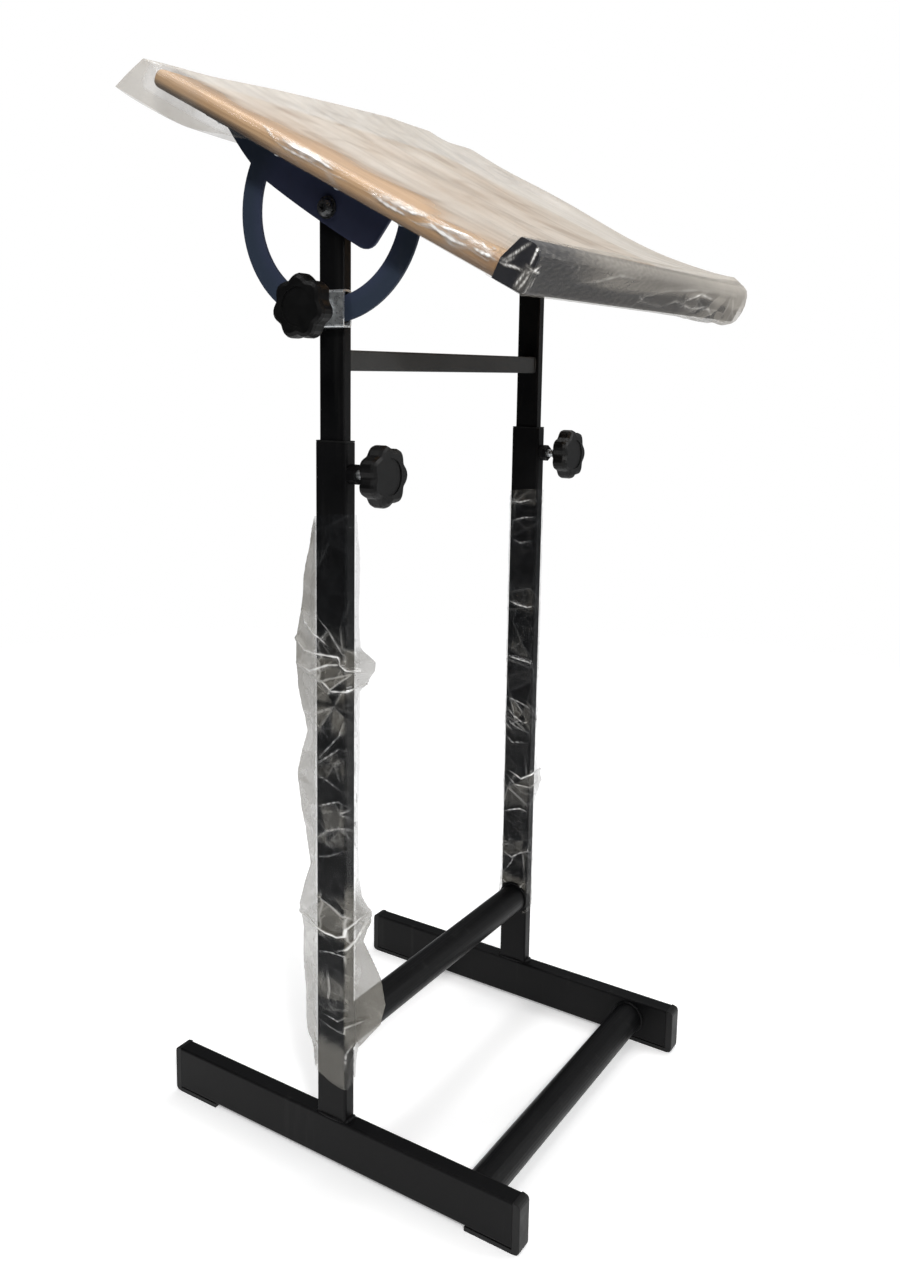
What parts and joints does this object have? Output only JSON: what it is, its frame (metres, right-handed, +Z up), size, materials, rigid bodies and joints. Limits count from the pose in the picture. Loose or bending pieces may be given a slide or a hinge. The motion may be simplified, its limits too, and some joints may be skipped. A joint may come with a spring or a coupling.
{
  "type": "book stand",
  "caption": "Floor-standing book stand: tube base on bar feet, telescopic posts clamped by star knobs, and a wooden board with a front ledge that tilts on an arc plate.",
  "frame": {"origin": "on the floor, under the middle of the stand's bounding box", "axes": "+X to the reader's right, +Y away from the reader, +Z up; the arc plate is on the -X side"},
  "size_m": [0.5218, 0.4799, 1.1316],
  "materials": {
    "black_paint": "satin powder coat",
    "grey_paint": "satin powder coat",
    "navy_paint": "satin powder coat",
    "zinc": "zinc plate",
    "cap_plastic": "matte",
    "knob_plastic": "satin",
    "board_wood": "lacquered",
    "ledge_wood": "black lacquer",
    "dowel_wood": "raw",
    "clear_film": "clear, crinkled"
  },
  "bodies": {
    "stand_base": {"foot_bar_left": "black_paint", "foot_cap_front_left": "cap_plastic", "foot_cap_rear_left": "cap_plastic", "outer_post_left": "black_paint", "guide_bush_left": "cap_plastic", "clamp_nut_left": "black_paint", "post_film_left": "clear_film", "foot_bar_right": "black_paint", "foot_cap_front_right": "cap_plastic", "foot_cap_rear_right": "cap_plastic", "outer_post_right": "black_paint", "guide_bush_right": "cap_plastic", "clamp_nut_right": "black_paint", "post_film_right": "clear_film", "rear_stretcher": "black_paint", "front_stretcher": "black_paint"},
    "sliding_frame": {"crossbar": "grey_paint", "tilt_guide": "zinc", "tilt_nut": "zinc", "inner_post_left": "black_paint", "inner_post_plug_left": "cap_plastic", "inner_post_glide_left": "cap_plastic", "pivot_bolt_left": "zinc", "pivot_washer_left": "zinc", "pivot_spacer_left": "zinc", "pivot_nut_left": "zinc", "inner_post_right": "black_paint", "inner_post_plug_right": "cap_plastic", "inner_post_glide_right": "cap_plastic", "pivot_bolt_right": "zinc", "pivot_washer_right": "zinc", "pivot_spacer_right": "zinc", "pivot_nut_right": "zinc"},
    "reading_board": {"book_board": "board_wood", "book_ledge": "ledge_wood", "tilt_plate_left": "navy_paint", "pivot_plate_right": "navy_paint", "board_film": "clear_film", "ledge_dowel_1": "dowel_wood", "ledge_dowel_2": "dowel_wood", "ledge_dowel_3": "dowel_wood", "plate_screw_1": "zinc", "plate_screw_2": "zinc", "plate_screw_3": "zinc", "plate_screw_4": "zinc", "plate_screw_5": "zinc", "plate_screw_6": "zinc", "plate_screw_7": "zinc"},
    "left_height_clamp": {"height_knob_left": "knob_plastic", "height_screw_left": "zinc"},
    "right_height_clamp": {"height_knob_right": "knob_plastic", "height_screw_right": "zinc"},
    "tilt_clamp": {"tilt_knob": "knob_plastic", "tilt_screw": "zinc"}
  },
  "joints": [
    {"name": "height_slide", "type": "slide", "parent": "stand_base", "child": "sliding_frame", "axis": [0, 0, 1], "range_m": [-0.065, 0.25]},
    {"name": "board_tilt", "type": "hinge", "parent": "sliding_frame", "child": "reading_board", "pos_m": [0, 0.00997, 0.995], "axis": [1, 0, 0], "range_deg": [-27, 38]},
    {"name": "left_height_knob_turn", "type": "hinge", "parent": "stand_base", "child": "left_height_clamp", "pos_m": [-0.2, -0.02883, 0.745], "axis": [0, -1, 0], "range_deg": [0, 720]},
    {"name": "right_height_knob_turn", "type": "hinge", "parent": "stand_base", "child": "right_height_clamp", "pos_m": [0.2, -0.02883, 0.745], "axis": [0, -1, 0], "range_deg": [0, 720]},
    {"name": "tilt_knob_turn", "type": "hinge", "parent": "sliding_frame", "child": "tilt_clamp", "pos_m": [-0.2306, 0.00997, 0.90177], "axis": [-1, 0, 0], "range_deg": [0, 720]}
  ]
}
